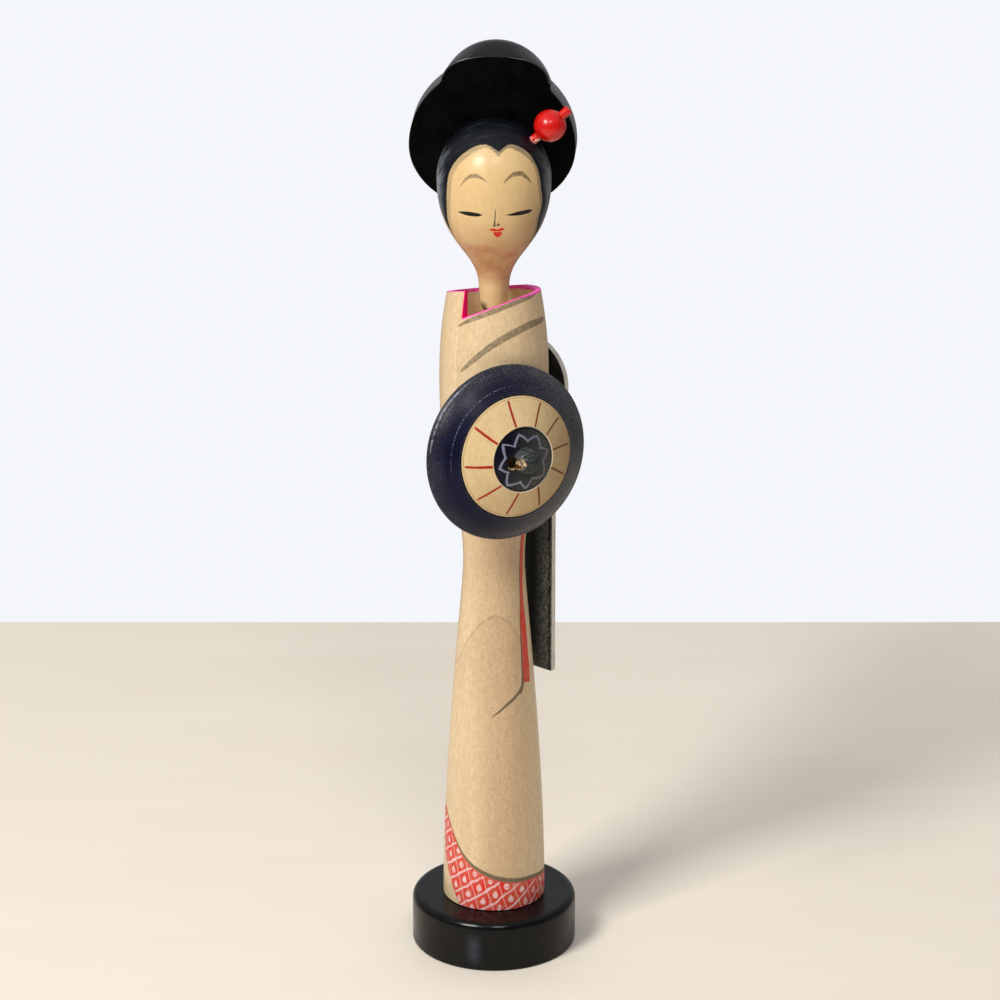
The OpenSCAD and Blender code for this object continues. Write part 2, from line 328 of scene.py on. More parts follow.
WOOD = wood_group()
DRY_BRUSH = dry_brush_group()
WEAR = wear_group()


class Finish:
    """A material for one or more pieces: its nodes, its millimetre coordinates and its shader."""

    def __init__(self, name, location=(0, 0, 0), rotation=(0, 0, 0)):
        self.material = bpy.data.materials.new(name)
        self.material.use_nodes = True
        tree = self.material.node_tree
        self.n = Nodes(tree)
        self.shader = tree.nodes["Principled BSDF"]
        place = self.n.add("TexCoord")
        plan = self.n.add("Mapping", vector_type="TEXTURE")
        self.n.feed(plan.inputs["Vector"], place.outputs["Object"])
        plan.inputs["Location"].default_value = location
        plan.inputs["Rotation"].default_value = rotation
        plan.inputs["Scale"].default_value = (MM, MM, MM)
        self.mm = plan.outputs[0]

    def set(self, **values):
        for name, value in values.items():
            self.n.feed(self.shader.inputs[name.replace("_", " ")], value)

    def bump(self, height, strength, distance):
        node = self.n.add("Bump")
        node.inputs["Strength"].default_value = strength
        node.inputs["Distance"].default_value = distance
        self.n.feed(node.inputs["Height"], height)
        self.n.feed(self.shader.inputs["Normal"], node.outputs[0])


# Finishes

# The collar's two slopes: height on the axis in millimetres, angle, and the way it is turned
COLLAR_SLOPE = (222.5, 18.5, 53)
SHOULDER_SLOPE = (220.8, 11.4, 66)

# The lapel's cut: its height in the middle, how fast it rises to the left, and how far back it goes
LAPEL_Z = 216.8
LAPEL_RISE = math.tan(math.radians(26.9))
LAPEL_BACK = 4
COLLAR_MIDDLE_R = 12.95

# Length in millimetres of a degree round the body, at the hem and at the side stripe
HEM_DEGREE = 0.2845
SIDE_DEGREE = 0.185


def slope_height(n, x, y, height, slope, turn):
    """Height of one of the collar's slopes: its height on the axis, its angle, and the way it is turned."""
    fall = math.tan(math.radians(slope))
    along = n.minus(n.times(x, fall * math.sin(math.radians(turn))),
            n.times(y, fall * math.cos(math.radians(turn))))
    return n.plus(along, height)


def collar_pink(n, x, y, z, reach_in):
    """Masks of the pink paint on the collar's top edges and on the upright edge of its notch."""
    top = slope_height(n, x, y, *COLLAR_SLOPE)
    shoulder = n.math("MINIMUM", top, slope_height(n, x, y, *SHOULDER_SLOPE))
    lapel = n.plus(n.times(x, LAPEL_RISE), LAPEL_Z)
    left = n.blend(n.under(y, LAPEL_BACK), shoulder, n.math("MINIMUM", shoulder, lapel))
    depth = n.minus(n.blend(n.over(x, -0.02), top, left), z)
    edge = n.edge(reach_in, depth, 0.05)
    notch = n.both(n.over(x, n.times(reach_in, -1)), n.under(x, 0.06), n.under(y, 0),
            n.over(z, LAPEL_Z - 0.1))
    return edge, notch


def hem_lattice(n, angle, z, wobble):
    """White strokes, thin pink cross lines and a dot in each diamond, on the red lining of the hem."""
    arc = n.times(angle, HEM_DEGREE)
    rising = n.plus(n.minus(z, n.times(arc, 0.72)), n.times(wobble, 2.2))
    falling = n.plus(arc, n.times(n.minus(z, 25), 0.3), n.times(wobble, -1.2))
    step_up, step_side = 5.75, 4.65
    up = n.minus(n.math("WRAP", n.minus(rising, 17.2), step_up, 0), step_up / 2)
    side = n.minus(n.math("WRAP", n.plus(falling, 0.9), step_side, 0), step_side / 2)
    thick = n.edge(n.size(up), step_up / 2 - 0.42, 0.12)
    thin = n.edge(n.size(side), step_side / 2 - 0.2, 0.12)
    across = n.times(n.minus(side, n.times(up, 0.3)), 1 / 1.216)
    rise = n.plus(up, n.times(across, 0.72))
    drop = n.curve(rise, [(-1.4, -0.1), (-1.05, 0.6), (-0.3, 0.86), (0.5, 0.52), (1.5, -0.1)])
    dot = n.edge(drop, n.size(across), 0.12)
    return thick, thin, dot


def kimono_wood():
    """The body: waxed pale wood with the painted collar, sash edge and lattice hem."""
    finish = Finish("Kimono wood", rotation=(0, 0, BODY_TURN))
    n, mm = finish.n, finish.mm
    x, y, z = n.split(mm)
    front = n.times(y, -1)
    angle = n.degrees(x, front)
    radius = n.radius(x, y)
    wobble = n.minus(n.noise(mm, 0.22, 2), 0.5)
    ragged = n.times(n.minus(n.noise(mm, 1.6, 3, 0.6), 0.5), 0.35)

    # Growth rings run out as nested arches towards the doll's front
    lateral = n.weigh((x, 0.71), (y, 0.71))
    depth = n.minus(n.times(x, 0.71), n.times(y, 0.71))
    leftward = n.math("MAXIMUM", lateral, 0)
    bend = n.weigh((n.times(lateral, lateral), 0.08), (n.times(leftward, leftward), 0.055))
    arch = n.plus(bend, n.times(depth, -0.7))
    rings = n.minus(149.5, n.plus(arch, z))
    ring_reach = n.both(n.ramp(z, 84, 100), n.ramp(z, 182, 168), 0.5)
    wood = n.use(WOOD, Vector=mm, Rings=rings, Ring_Step=44, Ring_Strength=ring_reach, Fibre=1.2,
            Pale=paint(234, 209, 166), Brown=paint(160, 113, 72))
    heart = n.both(n.ramp(n.away(lateral, 1.5), 11, 4, soft=True), n.ramp(rings, -1.5, 1.5),
            n.ramp(depth, 0, 6))
    speckled = n.patches(mm, 1.6, 0.4, 0.64, 4, 0.7)
    colour = n.mix(n.both(heart, n.plus(n.times(speckled, 0.3), 0.22)), wood["Color"], (166, 124, 92))
    shoulders = n.both(n.ramp(z, 186, 212), speckled, 0.16)
    colour = n.mix(shoulders, colour, (190, 136, 104))

    # Red edge of the lining at the side, and the grey line that ends in a hook
    height_curve = [(90, 87), (104, 87.5), (114, 89), (122, 92.3), (130, 95), (143, 97), (152, 99)]
    right_curve = [(90, 101), (103, 103.6), (114, 103.4), (122, 101.5), (130, 106.5), (143, 108.5),
            (152, 109)]
    left_edge = n.edge(angle, n.curve(z, height_curve), 0.6)
    right_edge = n.edge(n.curve(z, right_curve), angle, 0.6)
    foot = n.edge(z, n.plus(n.times(angle, -0.07), 99.5), 0.15)
    stripe = n.both(left_edge, right_edge, foot, n.ramp(z, 152, 150))
    side_line = n.stroke(z, n.times(angle, SIDE_DEGREE),
            [(89.8, 14.5), (91.4, 15.2), (93.4, 15.7), (104, 15.95), (114, 16.25), (120, 16.8), (130, 17.4),
             (143, 17.8), (150, 18.2)],
            [(89.6, -0.3), (90.4, 0.45), (92, 0.5), (96, 0.42), (104, 0.3), (120, 0.24), (142, 0.18),
             (150, -0.2)], 0.15, ragged)
    hook = n.stroke(angle, z, [(32, 82.8), (45, 85), (58, 87.4), (70, 89.3), (77, 90.7), (83, 92.6)],
            [(32, -0.1), (42, 0.34), (58, 0.6), (72, 0.66), (79, 0.6), (83, -0.2)], 0.2, ragged)

    # Hem: the red lining swings up to the doll's right and runs out round the back
    hem_angle = n.math("WRAP", angle, 260, -100)
    upper = n.curve(hem_angle, [(-100, 60), (-80, 56.5), (-60, 52), (-45, 48.8), (-32, 45.8), (-19.3, 42),
            (-10.8, 38.7), (-0.7, 34.9), (10.5, 31.9), (28.8, 28.9), (49.2, 26.8), (71.2, 25.7),
            (89.4, 25.4), (115, 24.4), (160, 23.2), (205, 21), (235, 17.5), (260, 11)])
    lower = n.curve(hem_angle, [(-100, 70), (-80, 57), (-60, 45.5), (-37.3, 33.3), (-29.1, 29),
            (-22.2, 25.2), (-12.2, 20.7), (-4, 16.9), (10, 11), (260, 10.9)])
    over_lower = n.minus(z, lower)
    under_upper = n.minus(upper, z)
    hem = n.both(n.ramp(n.plus(over_lower, n.times(ragged, 0.5)), -0.1, 0.15),
            n.ramp(under_upper, -0.1, 0.1))
    thick, thin, dot = hem_lattice(n, hem_angle, z, wobble)
    inside = n.both(n.ramp(under_upper, 0.3, 0.7), n.ramp(over_lower, -0.2, 0.3))
    grey_half = [(-100, 0.1), (-60, 0.16), (-19, 0.26), (-8, 0.45), (10, 0.66), (49, 0.78), (115, 0.62),
            (200, 0.45), (260, 0.3)]
    hem_width = n.curve(hem_angle, grey_half)
    hem_line = n.edge(hem_width, n.size(n.plus(under_upper, hem_width, ragged)), 0.12)
    low_line = n.edge(0.2, n.size(n.plus(over_lower, 0.15, ragged)), 0.1)
    low_line = n.both(low_line, n.under(hem_angle, 5), n.under(lower, 60))

    # Grey brush lines under the lapel and across the chest
    lapel = n.minus(z, n.plus(n.times(x, LAPEL_RISE), LAPEL_Z))
    lapel_line = n.stroke(angle, lapel, [(-8, -2.2), (0, -1.8), (10, -1.5), (60, -1.35), (102, -1.2)],
            [(-8, -0.2), (-2, 0.4), (8, 0.72), (30, 0.88), (60, 0.85), (92, 0.6), (102, -0.2)], 0.2, ragged)
    chest_line = n.stroke(angle, z,
            [(0, 199.6), (10, 202.5), (22, 205.9), (35, 209), (50, 211.6), (65.5, 213.3), (87, 214.4),
             (118, 214)],
            [(0, -0.2), (5, 0.7), (14, 1), (25, 1.18), (50, 1.22), (87, 1.12), (108, 0.85),
             (118, -0.2)], 0.25, ragged)

    solid = n.either(hem_line, side_line, hook, n.times(low_line, 0.7))
    grey = n.either(lapel_line, chest_line, solid)
    dryness = n.blend(solid, 0.6, 0.25)
    dry = n.use(DRY_BRUSH, Vector=n.stretch(mm, (2.6, 2.6, 2.6)), Mask=grey, Dryness=dryness)
    grey_paint = n.mix(n.ramp(dry["Streak"], 0.38, 0.66), (40, 34, 28), (112, 99, 80))
    colour = n.mix(n.times(dry["Mask"], 0.92), colour, grey_paint)
    # Painted highlight: a pale line painted down the front where a flat facet begins
    ridge_highlight = n.both(n.ramp(n.away(angle, -6.2), 0.9, 0.2), n.ramp(z, 189, 194), n.ramp(z, 215, 212))
    colour = n.mix(n.times(ridge_highlight, 0.45), colour, (250, 236, 205))

    red_streaks = n.join(n.times(angle, 0.7), n.times(radius, 0.4), n.times(z, 0.35))
    red_dry = n.use(DRY_BRUSH, Vector=red_streaks, Mask=n.either(hem, stripe), Dryness=0.3)
    red = n.mix(n.ramp(red_dry["Streak"], 0.32, 0.68), (200, 0, 4), (232, 36, 32))
    colour = n.mix(red_dry["Mask"], colour, red)
    white_streaks = n.join(n.times(angle, 0.1), n.times(radius, 0.4), n.times(z, 2.4))
    white_dry = n.use(DRY_BRUSH, Vector=white_streaks, Mask=n.both(inside, hem, n.either(thick, dot)),
            Dryness=0.6)
    colour = n.mix(n.times(n.both(inside, hem, thin), 0.55), colour, (246, 200, 196))
    colour = n.mix(n.times(white_dry["Mask"], 0.92), colour, (250, 224, 224))

    within = n.under(radius, COLLAR_MIDDLE_R)
    outside = n.blend(n.over(x, -1), 0.16, 0.42)
    reach_in = n.plus(n.blend(within, outside, 1.2), n.times(ragged, 0.5))
    pink_edge, pink_notch = collar_pink(n, x, y, z, reach_in)
    pink_tone = n.mix(n.patches(mm, 0.5, 0.3, 0.7, 2), (244, 60, 160), (255, 112, 206))
    colour = n.mix(pink_edge, colour, pink_tone)
    colour = n.mix(pink_notch, colour, (232, 16, 104))
    pink = n.either(pink_edge, pink_notch)

    painted = n.either(dry["Mask"], red_dry["Mask"], pink)
    finish.set(Base_Color=colour, Roughness=n.blend(painted, wood["Roughness"], 0.55), Coat_Roughness=0.22)
    finish.set(Specular_IOR_Level=n.blend(painted, 0.45, 0.12))
    finish.set(Coat_Weight=n.times(n.minus(1, painted), 0.22))
    turning = n.noise(n.stretch(mm, (0.05, 0.05, 3.2)), 1, 2)
    height = n.weigh((wood["Height"], 0.6), (turning, 0.25), (painted, 0.5))
    finish.bump(height, 0.35, 0.05 * MM)
    return finish.material


FACE_MIDDLE_Z = 254
HAIRLINE = [
    (-13, 241.5), (-14.1, 247.6), (-14.4, 253.6), (-14.3, 257.6), (-13.1, 264.2), (-9.4, 269.1),
    (-3.8, 272.1), (1.4, 270.6), (6.2, 271.8), (10.2, 269.3), (13, 264.8), (14.3, 257.6),
    (13.8, 249.4), (12.8, 243.4), (11.9, 240),
]

# Number of the sharp corner among the points of hairline_curve
WIDOWS_PEAK = 8


def hairline_curve():
    """The hairline as a distance from the middle of the face for each direction."""
    points = []
    for x, z in HAIRLINE:
        rise = z - FACE_MIDDLE_Z
        points.append((math.degrees(math.atan2(x, rise)), math.hypot(x, rise)))
    return [(-180, 60), *points, (180, 60)]


def face_lines(n, x, z, ragged):
    """Masks of the brows, the closed eyes, the nose and the mouth."""
    left_brow = n.stroke(x, z,
            [(-10.6, 259.2), (-9.8, 260.8), (-8.7, 262.3), (-7.2, 263.5), (-5.6, 263.9), (-4, 263.5),
             (-2.6, 262.7), (-1.8, 262.1)],
            [(-10.6, -0.1), (-9.6, 0.34), (-8.4, 0.54), (-6, 0.58), (-4, 0.4), (-2.6, 0.2),
             (-1.8, -0.1)], 0.22, ragged)
    right_brow = n.stroke(x, z,
            [(2.6, 261.4), (3.5, 262.6), (4.8, 263.7), (6.2, 264.3), (7.6, 264.3), (9.4, 263.3),
             (10.7, 261.8), (11.6, 260.2)],
            [(2.6, -0.1), (3.6, 0.38), (5.2, 0.58), (7.4, 0.68), (9.6, 0.62), (10.9, 0.34),
             (11.5, -0.1)], 0.22, ragged)
    left_eye = n.stroke(x, z,
            [(-11.2, 251.65), (-10, 251.65), (-8, 251.7), (-6, 251.7), (-4.4, 251.75), (-3.1, 251.85)],
            [(-11.2, -0.1), (-10.6, 0.16), (-9.6, 0.42), (-7.2, 0.7), (-5.2, 0.6), (-4, 0.26),
             (-3.1, -0.1)], 0.14)
    right_eye = n.stroke(x, z, [(3, 251.75), (5, 251.75), (7.5, 251.85), (10, 251.9), (11.8, 251.95)],
            [(3, -0.1), (4.2, 0.16), (5.6, 0.4), (8.4, 0.68), (10.2, 0.66), (11.2, 0.32),
             (11.8, -0.1)], 0.14)
    bridge = n.stroke(z, x, [(247.6, 0.05), (250, 0.25), (254.2, 0.5)],
            [(247.6, -0.2), (248.1, 0.24), (248.8, 0.28), (250, 0.18), (253.4, 0.11), (254.2, -0.2)], 0.14)
    base = n.stroke(x, z, [(-0.4, 248.2), (0.6, 248.4), (1.9, 248.6)],
            [(-0.4, -0.2), (-0.1, 0.14), (0.7, 0.14), (1.4, 0.26), (1.9, -0.2)], 0.14)
    wing = n.stroke(z, x, [(248, 1.5), (249, 1.2), (250.2, 0.95)],
            [(248, -0.2), (248.4, 0.26), (249, 0.16), (250.2, -0.2)], 0.14)
    upper_lip = n.stroke(x, z, [(-1.7, 246.85), (0, 246.75), (1, 246.6), (2, 246.8), (3.4, 247.05)],
            [(-1.7, -0.1), (-1, 0.26), (0.1, 0.5), (1, 0.34), (1.9, 0.52), (2.8, 0.34), (3.4, -0.1)], 0.14)
    lower_lip = n.stroke(z, x, [(244, 1.15), (246.1, 1.1)],
            [(243.9, -0.2), (244.3, 0.55), (244.9, 1.05), (245.5, 1.35), (245.85, 1.4), (246, -0.3)], 0.16)
    brows = n.either(left_brow, right_brow)
    eyes = n.either(left_eye, right_eye)
    nose = n.either(bridge, base, wing)
    lips = n.either(upper_lip, lower_lip)
    return brows, eyes, nose, lips


def face_wood():
    """The head: polished wood, brushed blue-black hair with a grey wash inside the hairline."""
    finish = Finish("Face wood")
    n, mm = finish.n, finish.mm
    x, y, z = n.split(mm)
    rise = n.minus(z, FACE_MIDDLE_Z)
    turn = n.degrees(x, rise)
    distance = n.radius(x, rise)
    angle = n.degrees(x, n.times(y, -1))
    around = n.size(angle)
    ragged = n.times(n.minus(n.noise(mm, 1.8, 3, 0.6), 0.5), 0.3)

    depth = n.radius(n.plus(x, 9), n.plus(y, 26))
    rings = n.plus(depth, n.times(z, 0.12))
    wood = n.use(WOOD, Vector=mm, Rings=rings, Ring_Step=9, Ring_Strength=0.14, Fibre=0.6,
            Pale=paint(222, 190, 136), Brown=paint(160, 108, 62))
    turned = n.noise(n.join(n.times(angle, 0.02), n.times(n.radius(x, y), 0.3), n.times(z, 1.9)), 1, 4, 0.6)
    blotch = n.patches(n.stretch(mm, (0.16, 0.16, 0.22)), 1, 0.38, 0.62, 3)
    throat = n.curve(z, [(214, 0), (223, 0.1), (229, 0.75), (236, 0.85), (242, 0.4), (250, 0)])
    spotted = n.patches(n.stretch(mm, (0.9, 0.9, 1.3)), 1, 0.35, 0.65, 4, 0.7)
    warm = n.both(throat, n.weigh((blotch, 0.45), (turned, 0.35), (spotted, 0.45)))
    colour = n.mix(warm, wood["Color"], (184, 112, 74))
    # Painted light: the neck is painted paler below the chin, where the chin's shadow falls
    colour = n.mix(n.ramp(z, 231, 223, 0, 0.65), colour, (246, 216, 160))
    # Painted shade: the side of the face away from the window light is painted darker brown
    shaded_cheek = n.both(n.ramp(x, 4, 15, soft=True), n.ramp(z, 262, 240, soft=True), n.ramp(z, 226, 236), 0.8)
    colour = n.mix(shaded_cheek, colour, (136, 88, 44))
    # Painted shade: a dark brown spot at the neck's foot, where it goes into the collar's recess
    neck_foot_shade = n.both(n.ramp(z, 219.6, 217.6), n.ramp(n.away(angle, -55), 32, 14))
    colour = n.mix(n.times(neck_foot_shade, 0.75), colour, (84, 54, 30))

    line = n.curve(turn, hairline_curve(), corners=(WIDOWS_PEAK,))
    inward = n.minus(line, distance)
    outside = n.either(n.ramp(n.plus(inward, ragged), 0.08, -0.08), n.over(y, 0))
    nape = n.curve(around, [(0, 200), (57, 236.5), (62, 239.3), (66, 243), (72, 246.8), (80, 250.2),
            (92, 252), (120, 248.5), (150, 243.5), (180, 241)])
    above_nape = n.ramp(n.plus(n.minus(z, nape), n.times(ragged, 2)), -0.2, 0.2)
    hair = n.both(outside, above_nape)

    wash_width = n.curve(turn, [(-134, 0.9), (-90, 1.15), (-50, 1.25), (-20, 1.2), (-4, 0.7), (5, 1.5),
            (12, 0.8), (25, 1.1), (50, 0.75), (80, 0.8), (110, 0.75), (140, 0.5)], corners=(5,))
    wash = n.both(n.edge(n.plus(wash_width, ragged), inward, 0.18), n.ramp(inward, -0.3, 0), n.under(y, 0),
            n.under(n.size(turn), 138))
    wash_streaks = n.join(n.times(distance, 1.6), n.times(turn, 0.05), 0)
    washed = n.use(DRY_BRUSH, Vector=wash_streaks, Mask=wash, Dryness=0.45)
    wash_strength = n.curve(turn, [(-134, 0.45), (-100, 0.5), (-60, 0.62), (-10, 0.7), (4, 1), (20, 0.95),
            (60, 0.8), (140, 0.65)])
    colour = n.mix(n.times(washed["Mask"], wash_strength), colour, (112, 100, 80))

    brows, eyes, nose, lips = face_lines(n, x, z, n.times(ragged, 0.7))
    front = n.under(y, 0)
    brow_dry = n.use(DRY_BRUSH, Vector=n.stretch(mm, (1.2, 1, 4)), Mask=n.both(brows, front), Dryness=0.5)
    brow_paint = n.mix(n.ramp(x, -2, 5), (96, 86, 64), (48, 40, 28))
    colour = n.mix(n.times(brow_dry["Mask"], 0.9), colour, brow_paint)
    colour = n.mix(n.times(n.both(nose, front), 0.92), colour, (40, 30, 18))
    colour = n.mix(n.both(lips, front), colour, (214, 34, 10))
    colour = n.mix(n.both(eyes, front), colour, (1, 1, 1))

    strands = n.join(n.times(distance, 1.5), n.times(turn, 0.035), n.times(y, 0.6))
    brushed = n.use(DRY_BRUSH, Vector=strands, Mask=hair, Dryness=0)
    # Painted sheen: the hair's sides turn paler grey towards the outline, over the brushed streaks
    side_sheen = n.both(n.ramp(n.size(turn), 40, 85), n.ramp(inward, -0.6, -2.8))
    tone = n.plus(n.times(side_sheen, n.ramp(brushed["Streak"], 0.3, 0.6, 0.35, 1.1)),
            n.times(n.minus(brushed["Streak"], 0.55), 0.5))
    hair_paint = n.mix(n.math("ADD", tone, 0, clamp=True), (7, 11, 19), (146, 152, 160))
    colour = n.mix(hair, colour, hair_paint)

    painted = n.either(hair, n.both(eyes, front), n.both(lips, front))
    finish.set(Base_Color=colour, Roughness=n.blend(painted, 0.55, 0.4))
    finish.set(Specular_IOR_Level=0.25, Coat_Weight=n.times(n.minus(1, painted), 0.42), Coat_Roughness=0.25)
    height = n.weigh((wood["Height"], 0.4), (n.both(brushed["Streak"], hair), 0.9))
    finish.bump(height, 0.3, 0.05 * MM)
    return finish.material


# Angles of the red ribs round the umbrella, and the star as (angle, radius) from tip to hollow
RIB_ANGLES = (-180, -142.7, -105.3, -67.6, -28, 2.6, 32.4, 58.9, 95.8, 139.8, 180)
STAR = [(-180, 7.96), (-172, 8.57), (-155, 6.56), (-132, 9.3), (-107, 6.82), (-90, 9), (-71, 6.48),
        (-44, 8.8), (-12, 6.3), (12, 8.35), (27, 6.15), (54, 8.3), (77, 5.9), (98, 8.15), (125, 5.9),
        (139, 9.1), (164, 6.75), (180, 7.96)]
SIDE_HOLE_X = 4.3
SIDE_HOLE_R = 1.82
HUB_R = 10.15
RING_R = 18.95
RIB_STEP = math.radians(36)


def umbrella_paint():
    """The umbrella: navy rim gone dusty, plain ring with red ribs, dark hub with a pale zigzag star."""
    finish = Finish("Umbrella paint", UMBRELLA_MID, (math.radians(90) - UMBRELLA_TILT, 0, UMBRELLA_TURN))
    n, mm = finish.n, finish.mm
    x, y, h = n.split(mm)
    radius = n.radius(x, y)
    wear = n.use(WEAR, Vector=mm, Edge_Width=0.5 * MM, Dust=1)
    wobble = n.minus(n.noise(mm, 0.35, 2), 0.5)

    turned = n.noise(n.join(n.times(radius, 5), n.times(n.degrees(x, y), 0.012), h), 1, 3, 0.6)
    wood = n.use(WOOD, Vector=n.join(x, h, y), Rings=n.weigh((x, 0.9), (y, 0.3)), Ring_Step=7,
            Ring_Strength=0.22, Pale=paint(224, 198, 150), Brown=paint(166, 126, 80))
    ring_wood = n.mix(n.ramp(turned, 0.45, 0.75, 0, 0.18), wood["Color"], (160, 124, 80))

    # Ten red ribs, set out by eye, so their angles are not quite even
    around = n.degrees(y, x)
    leaning = n.minus(around, n.ramp(radius, 10.5, 18, 3.4, 0))
    spaces = n.curve(leaning, [(angle, number) for number, angle in enumerate(RIB_ANGLES)],
            corners=range(len(RIB_ANGLES)))
    off = n.minus(n.math("FRACT", n.plus(spaces, n.plus(0.5, n.times(wobble, 0.02)))), 0.5)
    rib_away = n.times(n.size(off), n.times(radius, RIB_STEP))
    rib = n.both(n.edge(0.35, rib_away, 0.07), n.ramp(radius, 10.4, 10.7), n.ramp(radius, 18.3, 17.9))
    rib = n.use(DRY_BRUSH, Vector=n.join(n.times(radius, 0.5), around, 0), Mask=rib, Dryness=0.1)["Mask"]
    ring = n.mix(rib, ring_wood, n.mix(n.ramp(x, -4, 12), (160, 0, 10), (104, 18, 10)))
    scribed = n.ramp(n.away(radius, 18.45), 0.16, 0.05)
    ring = n.mix(n.times(scribed, 0.45), ring, (120, 84, 48))
    ring = n.mix(n.ramp(n.minus(x, n.times(y, 0.3)), 0, 18, 0, 0.5), ring, (124, 94, 62))

    # Navy rim: dust thickens towards the lower right; a turned line gets a painted highlight on the upper
    # left
    lower_right = n.ramp(n.minus(n.times(x, 0.9), n.times(y, 0.25)), -8, 24, soft=True)
    at_rim = n.ramp(radius, 23, 27)
    speck = n.patches(mm, 3.2, 0.54, 0.68, 2, 0.5)
    patchy = n.patches(mm, 0.12, 0.3, 0.7, 2)
    outer = n.both(at_rim, n.plus(n.times(patchy, 0.25), 0.08))
    grime = n.plus(n.times(lower_right, 0.55), n.plus(outer, n.times(n.ramp(y, 0, 26), 0.1)))
    dusty = n.both(grime, n.plus(n.times(speck, 1.1), 0.22))
    navy = n.mix(n.patches(mm, 0.3, 0.3, 0.7, 3), (5, 5, 30), (9, 11, 46))
    rim = n.mix(dusty, navy, (150, 150, 144))
    turned_line_highlight = n.both(n.ramp(n.away(radius, 21.8), 0.14, 0.04), n.patches(mm, 1.4, 0.42, 0.6, 2),
            n.ramp(x, 2, -6), n.ramp(y, -4, 8))
    rim = n.mix(n.times(turned_line_highlight, 0.6), rim, (150, 150, 158))
    rim = n.mix(n.times(wear["Edge"], 0.35), rim, (140, 138, 134))
    # Painted highlight: a pale arc along the rim's upper left edge
    rubbed = n.both(n.ramp(n.away(radius, 26.9), 0.28, 0.1), n.ramp(x, -10, -16), n.ramp(y, 3, 9),
            n.patches(mm, 0.9, 0.36, 0.56, 3, 0.6))
    rim = n.mix(n.times(rubbed, 0.6), rim, (190, 192, 204))

    # Hub: a zigzag star drawn freely in pale grey-blue
    star_radius = n.curve(n.plus(around, n.times(wobble, 3)), STAR, corners=range(len(STAR)))
    star_away = n.times(n.size(n.plus(n.minus(radius, star_radius), n.times(wobble, 0.5))), 0.8)
    star = n.both(n.edge(0.32, star_away, 0.14), n.over(radius, 4.6))
    star = n.use(DRY_BRUSH, Vector=n.stretch(mm, (1.5, 1.5, 1.5)), Mask=star, Dryness=0.35)["Mask"]
    hub_dust = n.times(n.edge(x, n.times(y, 0.3), 6), n.plus(n.times(speck, 0.7), 0.4))
    hub = n.mix(n.noise(mm, 1.2, 3), (4, 5, 18), (18, 20, 36))
    hub = n.mix(n.times(hub_dust, 0.8), hub, (104, 104, 96))
    hub = n.mix(n.times(star, n.ramp(x, -2, 8, 0.9, 0.4)), hub, (150, 150, 172))
    knob_grey = n.patches(mm, 0.9, 0.35, 0.65, 4, 0.65)
    hub = n.mix(n.ramp(radius, 4.4, 4), hub, n.mix(knob_grey, (24, 30, 32), (84, 88, 84)))
    hub = n.mix(n.times(n.under(radius, 2.3), 0.6), hub, (34, 42, 44))
    hub = n.mix(n.times(n.ramp(n.away(radius, 9.75), 0.3, 0.15), 0.8), hub, (6, 6, 10))

    # Side hole at the knob's foot: splintered raw wood on its lower right; inside, the wood is painted dark
    # brown as painted shade
    hole = n.radius(n.plus(x, SIDE_HOLE_X), y)
    ragged = n.times(n.minus(n.noise(mm, 1.3, 3), 0.5), 0.9)
    lower = n.edge(n.plus(x, SIDE_HOLE_X), y, 0.6)
    hole_rim = n.both(n.ramp(n.plus(hole, ragged), 2.35, 2.1), n.over(hole, 1.78), n.over(h, 10.5), lower,
            n.patches(mm, 1.1, 0.42, 0.52, 3, 0.6))
    hole_in = n.both(n.under(hole, SIDE_HOLE_R), n.over(h, 6.5), n.over(radius, 2.9))

    in_ring = n.both(n.over(radius, HUB_R), n.under(radius, RING_R))
    in_hub = n.under(radius, HUB_R)
    colour = n.mix(in_ring, rim, ring)
    colour = n.mix(in_hub, colour, hub)
    lip = n.ramp(n.away(radius, 10.25), 0.24, 0.1)
    colour = n.mix(n.times(lip, 0.75), colour, (236, 226, 202))
    colour = n.mix(n.times(hole_rim, 0.8), colour, (226, 196, 152))
    shaded_hole_wood = n.mix(n.patches(n.stretch(mm, (1, 1, 0.3)), 1, 0.35, 0.65, 3), (38, 20, 8), (96, 58, 28))
    colour = n.mix(hole_in, colour, shaded_hole_wood)

    # The underside is the same navy, without the ring and the star
    front = n.over(h, n.ramp(radius, 0, 26.5, 2, -0.9))
    colour = n.mix(front, rim, colour)
    bare = n.both(in_ring, front)
    finish.set(Base_Color=colour, Roughness=n.blend(bare, n.blend(dusty, 0.33, 0.55), 0.45))
    finish.set(Specular_IOR_Level=0.12, Coat_Weight=n.times(n.minus(1, bare), 0.1), Coat_Roughness=0.22)
    height = n.plus(n.times(turned, 0.8), n.weigh((speck, 0.35), (n.either(rib, star), 0.3)))
    finish.bump(n.minus(height, n.times(wear["Scratches"], 0.4)), 0.35, 0.05 * MM)
    return finish.material


def lacquer(name, black, sheen_grey, roughness, dust, edge_wear=0.16, rotation=(0, 0, 0)):
    """Black lacquer on turned or sawn wood, with its wear. Returns the finish for more paint."""
    finish = Finish(name, rotation=rotation)
    n = finish.n
    wear = n.use(WEAR, Vector=finish.mm, Edge_Width=0.45 * MM, Dust=dust)
    colour = n.mix(n.ramp(wear["Smudge"], 0.35, 0.7), black, sheen_grey)
    colour = n.mix(n.times(wear["Dust"], 0.6), colour, (120, 118, 112))
    colour = n.mix(n.times(wear["Edge"], edge_wear), colour, (110, 100, 86))
    rough = n.math("ADD", n.ramp(wear["Smudge"], 0.3, 0.7, roughness, roughness + 0.14),
            n.times(wear["Dust"], 0.25))
    finish.set(Base_Color=colour, Roughness=rough, Specular_IOR_Level=0.08)
    grain = n.noise(n.stretch(finish.mm, (1.8, 1.8, 0.12)), 1, 3, 0.6)
    finish.bump(n.minus(n.times(grain, 0.6), n.times(wear["Scratches"], 0.5)), 0.25, 0.05 * MM)
    return finish, colour, wear


